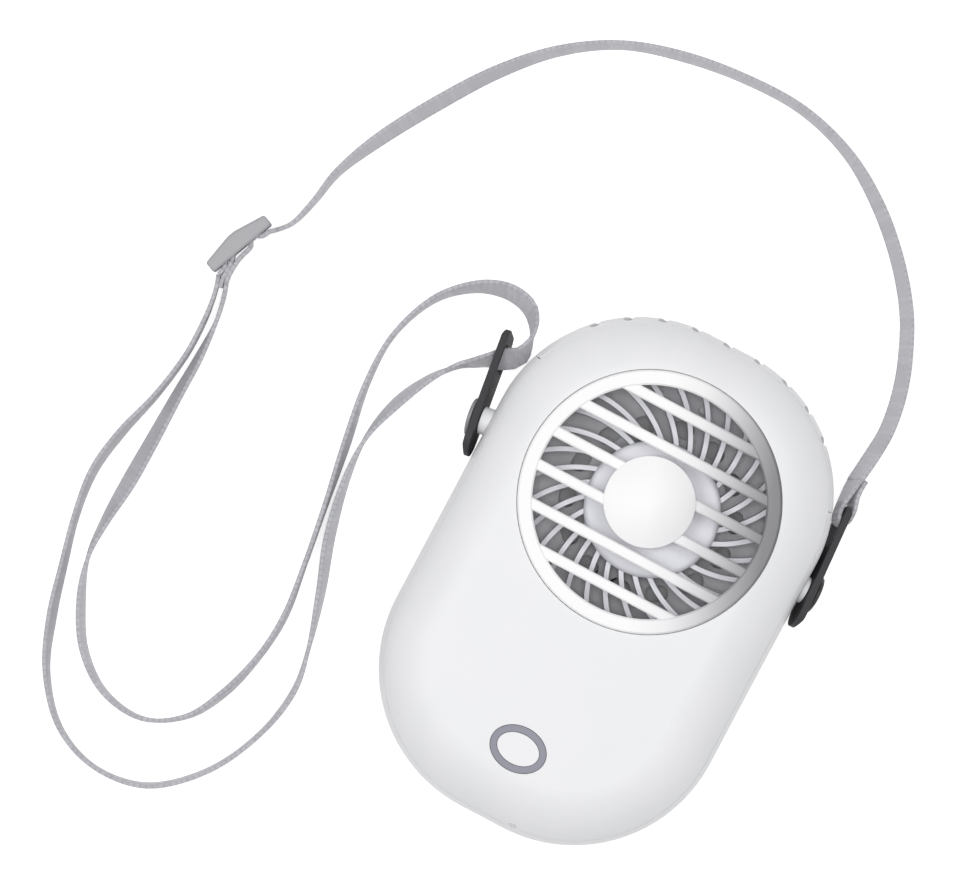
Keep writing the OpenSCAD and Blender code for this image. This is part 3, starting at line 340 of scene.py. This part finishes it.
# Strap. Each row of a route: x, y, lift off the table, lean of the tape from standing on edge
strap = {
    "width": 5.2,
    "thickness": 0.9,
    "softEdge": 0.24,  # how much of the tape's edge is rounded off, in mm
    "step": 1.6,  # mm from ring to ring
    "arc": [
        [37.3, 44.1, 6, -28], [38, 50, 4, -31], [38.4, 57, 2, -30], [37.2, 65, 0.5, -30],
        [34.6, 72.8, 0, -28], [30.1, 81.7, 0, -26], [22.8, 90.9, 0, -25], [13.5, 99.3, 0, -24],
        [2.7, 105.8, 0, -17], [-10.1, 109.4, 0, -14], [-24, 109.5, 0, -14], [-38, 107.5, 0, -16],
        [-51, 103.4, 0, -13], [-62.4, 95.9, 0, -18], [-72, 85.6, 0, -26], [-80.3, 73.4, 0, -30],
        [-87.4, 61.2, 0, -26], [-92, 50.9, 0, -12], [-93.5, 43.2, 1, -6], [-94.8, 38, 1.6, -3],
        [-96, 35.4, 1.9, 0], [-97.8, 33.4, 1.9, 0]],
    "outer": [
        [-104.3, 19, 1.9, 0], [-103.7, 17.2, 1.9, 0], [-103, 14, 1.5, 0], [-102.4, 8, 0.8, -3],
        [-102.5, 0, 0, -4], [-104.1, -10.1, 0, -7], [-107, -21, 0, -14], [-108.4, -31, 0, -13],
        [-107.2, -41.4, 0, -8], [-104.6, -52, 0, -11], [-101.6, -63, 0, -15], [-97, -74, 0, -7],
        [-88.9, -83.2, 0, -3], [-78, -87.3, 0, 0], [-66.1, -85.3, 0, -4], [-56.2, -76.3, 0, -4],
        [-50.2, -64.5, 0, -4], [-48, -53, 0, -7], [-49.5, -43, 0, 0], [-52.9, -31, 0, 15],
        [-56.8, -19.6, 0, 20], [-59.4, -7.5, 0, 11], [-59.9, 3, 0, -3], [-57.6, 12.5, 0.5, -20],
        [-53.7, 20.6, 2.5, -11], [-49.8, 25.5, 5, 5], [-47, 27.8, 7, 15], [-44.6, 29.7, 8.3, 28],
        [-42.5, 31.1, 8.9, 55]],
    "inner": [
        [-102, 18.1, 1.9, 0], [-101.5, 16.8, 1.9, 0], [-100.9, 14.6, 1.6, 0], [-100, 9, 0.8, 3],
        [-99.8, 1, 0, 16], [-100.1, -8, 0, 23], [-100.3, -20, 0, 31], [-100.6, -30, 0, 33],
        [-101.1, -39.5, 0, 17], [-100.7, -48, 0, 3], [-97.6, -57, 0, -12], [-92.1, -66, 0, -11],
        [-84, -72, 0, -6], [-74.1, -73.2, 0, 0], [-65.8, -68.3, 0, 6], [-61, -59.9, 0, 13],
        [-58.1, -49.4, 0, 8], [-57.3, -39, 0, 8], [-58.8, -27, 0, 3], [-60.8, -14, 0, 5],
        [-63.1, 0, 0, 14], [-65.2, 13, 0, 8], [-65.1, 25, 0, 4], [-61.1, 35.8, 1, 10],
        [-54.6, 42.4, 2, 22], [-47.9, 45, 3.5, 35], [-42.2, 44.2, 5.5, 33], [-39.1, 41, 7, 14],
        [-38.2, 37.4, 8, -10], [-38.6, 34.2, 9, -40], [-40.2, 32.6, 9, -60], [-42.5, 31.1, 8.9, -55]],
}


def smoothRows(rows, step):
    # the rows as one smooth curve: a Catmull-Rom spline with points about a step apart
    first = [2*a - b for a, b in zip(rows[0], rows[1])]
    last = [2*a - b for a, b in zip(rows[-1], rows[-2])]
    spread = [first] + rows + [last]
    result = []
    for i in range(1, len(spread) - 2):
        before, start, end, after = spread[i - 1:i + 3]
        count = max(1, round(math.dist(start[:3], end[:3])/step))
        for k in range(count):
            t = k/count
            result.append([
                0.5*(2*b + (c - a)*t + (2*a - 5*b + 4*c - d)*t*t + (3*b - a - 3*c + d)*t**3)
                for a, b, c, d in zip(before, start, end, after)])
    result.append(rows[-1])
    return result


def tapeSection():
    # the tape's outline across its length: flat sides and rounded edges
    halfW, halfT, edge = strap["width"]/2, strap["thickness"]/2, strap["softEdge"]
    corners = []
    for sx, sy, first in ((1, 1, 0), (-1, 1, 90), (-1, -1, 180), (1, -1, 270)):
        for k in range(4):
            a = math.radians(first + 30*k)
            corners.append((sx*(halfW - edge) + edge*math.cos(a), sy*(halfT - edge) + edge*math.sin(a)))
    return corners


def sweepTape(name, points, ups):
    # a soft-edged ribbon: one cross section, extruded from point to point and turned with the tape
    section = tapeSection()
    bm = bmesh.new()
    end = bm.faces.new([bm.verts.new() for _ in section])
    spots = {}  # millimetres along and across the tape at each vertex, for its UV map
    run = 0
    for i, point in enumerate(points):
        if i:
            grown = bmesh.ops.extrude_face_region(bm, geom=[end])["geom"]
            end = next(part for part in grown if isinstance(part, bmesh.types.BMFace))
            run += (point - points[i - 1]).length
        ahead = (points[min(i + 1, len(points) - 1)] - points[max(i - 1, 0)]).normalized()
        side = ahead.cross(ups[i]).normalized()
        up = side.cross(ahead)
        for vert, (a, b) in zip(end.verts, section):
            vert.co = (point + a*up + b*side)*mm
            spots[vert] = (run, a + b)
    bmesh.ops.recalc_face_normals(bm, faces=bm.faces)
    uv = bm.loops.layers.uv.new("tape")
    for face in bm.faces:
        face.smooth = len(face.verts) == 4
        for loop in face.loops:
            loop[uv].uv = spots[loop.vert]
    obj = meshObject(name, bm)
    dress(obj, "strap_grey")
    return obj


def routeFrame(rows):
    # centre points of the tape and the direction across its width at each
    points = []
    for x, y, lift, lean in rows:
        a = math.radians(lean)
        rise = strap["width"]/2*abs(math.cos(a)) + strap["thickness"]/2*abs(math.sin(a))
        points.append(Vector((x, y, lift + rise)))
    ups = []
    for i, row in enumerate(rows):
        ahead = (points[min(i + 1, len(points) - 1)] - points[max(i - 1, 0)]).normalized()
        a = math.radians(row[3])
        ups.append(math.cos(a)*Vector((0, 0, 1)) + math.sin(a)*Vector((-ahead.y, ahead.x, 0)).normalized())
    return points, ups


def makeStrap(name, key, node):
    points, ups = routeFrame(smoothRows(strap[key], strap["step"]))
    obj = sweepTape(name, points, ups)
    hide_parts(node)
    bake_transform(obj)


# the three long stretches of the strap, each swept along its route
makeStrap("strapArc", "arc", "strap_arc")
makeStrap("strapOuter", "outer", "strap_outer")
makeStrap("strapInner", "inner", "strap_inner")

# Strap end sewn round the bar of the right link
loop = {
    "pin": (38, 18.2, 14),  # where the link turns
    "turns": (-12, 10, 1),  # degrees about x, y and z that lay the link as it hangs
    # x outwards, y along the link, z across the tape, and the lean outwards
    "path": [
        [1.85, 26.8, -0.15, 18], [1.7, 25, 0, 15], [1.95, 22.8, 0, 9], [2.65, 20.6, 0, 3],  # the tail
        [2.85, 18.6, 0, 0], [2.5, 17, 0, 0], [1.45, 16.45, 0, 0], [0.4, 17, 0, 0],  # round the bar
        [0.05, 18.6, 0, 0], [0.05, 20.6, 0, 3], [0.2, 22.8, 0.15, 9], [0.435, 25, 0.19, 15],
        [0.706, 26.46, 0.059, 18.3]],  # on to the long stretch
    "step": 0.7,
}


def placeLoop():
    turn = Euler([math.radians(a) for a in loop["turns"]], "XYZ").to_matrix().to_4x4()
    return Matrix.Translation(loop["pin"]) @ turn


def makeLoop():
    place = placeLoop()
    rows = smoothRows(loop["path"], loop["step"])
    points = [place @ Vector(row[:3]) for row in rows]
    ups = [place.to_3x3() @ Vector((math.sin(math.radians(row[3])), 0, math.cos(math.radians(row[3]))))
           for row in rows]
    obj = sweepTape("strapLoop", points, ups)
    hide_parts("strap_loop")
    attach(obj, "right_link")


makeLoop()

# Strap through the slider, and the other end sewn round the slider's bar
sliderWay = {
    "middle": (-102.3, 26.4, 4.5),
    "turn": 67.5,  # degrees from the x axis to the slider's length
    # millimetres along the slider and up from its flat side
    "run": [[8.2, -1.5], [6.4, -0.7], [5, -0.6], [3.4, 0.9], [2, 2.6], [-2, 2.6], [-3.9, 0.9], [-5.6, -0.5],
            [-7.55, -1]],
    "sewnEnd": [
        [-7.55, -3.4], [-6.4, -2.7], [-5.2, -2.15], [-3.6, -1.6], [-2.2, -1.2], [-0.6, -0.98], [1.2, -0.85],
        [2.2, 0], [1.5, 1.55], [-1.5, 1.55], [-2.2, 0.6], [-3.3, -0.4], [-4.6, -1], [-6, -1.6],
        [-7.6, -2.3], [-9.1, -3.4]],
    "step": 0.7,
}


def makeSliderStrap():
    turn = Matrix.Rotation(math.radians(sliderWay["turn"]), 4, "Z")
    place = Matrix.Translation(sliderWay["middle"]) @ turn
    for name, key in (("strapThroughSlider", "run"), ("strapSewnEnd", "sewnEnd")):
        rows = smoothRows([[x, y, 0] for x, y in sliderWay[key]], sliderWay["step"])
        obj = sweepTape(name, [place @ Vector(row) for row in rows], [Vector((0, 0, 1))]*len(rows))
        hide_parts("slider_strap")
        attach(obj, "root")


makeSliderStrap()
print("sewn ends made")

# Slider: two rails joined by a bar at each end and a thin one in the middle
slider = {
    "outline": [(-8.1, 0), (8.1, 0), (8.1, 2.6), (0.9, 4), (-0.9, 4), (-8.1, 2.6)],
    "rails": [(0, 1.7), (7.3, 9)],  # lowest and highest point of each, mm above the table
    "endBar": [(5.8, 0), (8, 0), (8, 2.55), (5.8, 2.95)],
    "middleBar": [(-0.9, 0), (0.9, 0), (0.9, 0.95), (-0.9, 0.95)],
    "sunk": 0.4,  # how far the bars reach into the rails
    "railRound": 0.45,
    "barRound": 0.2,
}


def moulding(bm, outline, low, high, rounding):
    # an upright prism of the outline with rounded edges
    face = bm.faces.new([bm.verts.new((x, y, low)) for x, y in outline])
    grown = bmesh.ops.extrude_face_region(bm, geom=[face])["geom"]
    top = [part for part in grown if isinstance(part, bmesh.types.BMVert)]
    bmesh.ops.translate(bm, verts=top, vec=(0, 0, high - low))
    edges = list(dict.fromkeys(edge for vert in top + list(face.verts) for edge in vert.link_edges))
    bmesh.ops.bevel(bm, geom=edges, offset=rounding, affect="EDGES", segments=3, profile=0.5,
                    material=-1)


def makeSlider():
    bm = bmesh.new()
    for low, high in slider["rails"]:
        moulding(bm, slider["outline"], low, high, slider["railRound"])
    low, high = slider["rails"][0][1] - slider["sunk"], slider["rails"][1][0] + slider["sunk"]
    mirrored = [(-x, y) for x, y in slider["endBar"]]
    for outline in (slider["endBar"], mirrored, slider["middleBar"]):
        moulding(bm, outline, low, high, slider["barRound"])
    bmesh.ops.recalc_face_normals(bm, faces=bm.faces)
    turn = Matrix.Rotation(math.radians(sliderWay["turn"]), 4, "Z")
    place = Matrix.Translation((*sliderWay["middle"][:2], 0))
    bmesh.ops.transform(bm, verts=bm.verts, matrix=Matrix.Scale(mm, 4) @ place @ turn)
    obj = meshObject("sliderFrame", bm)
    dress(obj, "slider_grey")
    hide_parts("slider")
    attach(obj, "root")


makeSlider()
print("slider made")

# Finishes of the pieces that stay as they are built
for entry in frame["record"]["subparts"]:
    node = frame["nodes"][entry["node"]]
    if not node.hide_render:
        node.data.materials.clear()
        node.data.materials.append(materials[entry["material_slot"]])
print("built pieces dressed")

# Table, background and lamps

studio = {
    "table": 4.0,  # metres across; the lamps' places and sizes are metres too, their powers watts
    "tableColour": "#f4f4f4",
    "tableGlow": 0.55,  # what the lens adds to the table, so that it is white in the picture
    "worldStrength": 0.42,
    "left": {"place": (-0.55, -0.25, 1.5), "size": 0.5, "power": 5.4},
    "right": {"place": (0.3, 0.5, 1.5), "size": 0.5, "power": 3.9},
    "top": {"place": (-0.04, 0.02, 1.65), "size": 0.3, "power": 4.9},
}


def seenDirectly(tree):
    # 1 for what the camera sees itself, in a mirror or through glass
    rays = addNode(tree, "ShaderNodeLightPath")
    both = addNode(tree, "ShaderNodeMath", {"operation": "MAXIMUM"},
                   {0: rays.outputs["Is Camera Ray"], 1: rays.outputs["Is Glossy Ray"]})
    return addNode(tree, "ShaderNodeMath", {"operation": "MAXIMUM"},
                   {0: both.outputs[0], 1: rays.outputs["Is Transmission Ray"]})


def makeTable():
    bm = bmesh.new()
    bmesh.ops.create_grid(bm, x_segments=2, y_segments=2, size=studio["table"]/2)
    table = meshObject("table", bm)
    material, tree = newMaterial("paleTable")
    paint = addNode(tree, "ShaderNodeBsdfDiffuse", {"Color": linear(studio["tableColour"])})
    glow = addNode(tree, "ShaderNodeEmission", {"Strength": studio["tableGlow"]})
    seen = addNode(tree, "ShaderNodeAddShader")
    tree.links.new(paint.outputs[0], seen.inputs[0])
    tree.links.new(glow.outputs[0], seen.inputs[1])
    mix = addNode(tree, "ShaderNodeMixShader", links={0: seenDirectly(tree).outputs[0]})
    tree.links.new(paint.outputs[0], mix.inputs[1])
    tree.links.new(seen.outputs[0], mix.inputs[2])
    finishMaterial(tree, mix)
    table.data.materials.append(material)


def makeWorld():
    world = bpy.data.worlds.new("studio")
    bpy.context.scene.world = world
    world.use_nodes = True
    tree = world.node_tree
    tree.nodes.clear()
    room = addNode(tree, "ShaderNodeBackground",
                   {"Color": linear("#ffffff"), "Strength": studio["worldStrength"]})
    white = addNode(tree, "ShaderNodeBackground", {"Color": linear("#ffffff"), "Strength": 1.0})
    mix = addNode(tree, "ShaderNodeMixShader", links={0: seenDirectly(tree).outputs[0]})
    tree.links.new(room.outputs[0], mix.inputs[1])
    tree.links.new(white.outputs[0], mix.inputs[2])
    addNode(tree, "ShaderNodeOutputWorld", links={"Surface": mix.outputs[0]})


def makeLamp(name):
    settings = studio[name]
    data = bpy.data.lights.new(name, "AREA")
    data.energy = settings["power"]
    data.size = settings["size"]
    lamp = bpy.data.objects.new(name, data)
    lamp.location = settings["place"]
    aim = Vector((view["centre"][0]*mm, view["centre"][1]*mm, 0)) - lamp.location
    lamp.rotation_euler = aim.to_track_quat("-Z", "Y").to_euler()
    bpy.context.collection.objects.link(lamp)


makeTable()
makeWorld()
for lampName in ("left", "right", "top"):
    makeLamp(lampName)
bpy.context.scene.view_settings.view_transform = "Standard"
print("studio lit")
